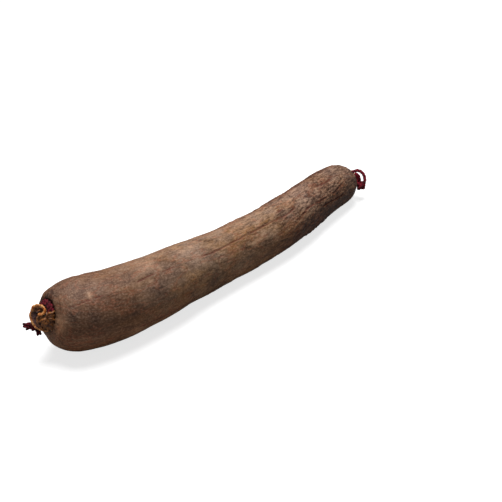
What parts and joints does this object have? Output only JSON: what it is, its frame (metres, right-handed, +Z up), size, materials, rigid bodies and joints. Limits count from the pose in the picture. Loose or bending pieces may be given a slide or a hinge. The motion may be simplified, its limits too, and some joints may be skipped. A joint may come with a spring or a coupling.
{
  "type": "cured sausage",
  "caption": "Whole cured sausage in natural casing, lying on its side, with string-tied gathered ends and a small hanging loop.",
  "frame": {"origin": "on the surface it lies on, under the middle of the bound sausage, leaving out the hanging loop", "axes": "+X along the sausage from the thick near end to the end with the hanging loop, +Z up"},
  "size_m": [0.4098, 0.0709, 0.0606],
  "materials": {
    "dried_casing": "matt dried natural casing with a light bloom",
    "red_string": "twisted dyed cotton string, matt"
  },
  "bodies": {
    "root": {"sausage": "dried_casing", "near_tie": "red_string", "far_tie": "red_string", "hanging_loop": "red_string", "loop_knot": "red_string", "loop_return": "red_string"}
  },
  "joints": []
}
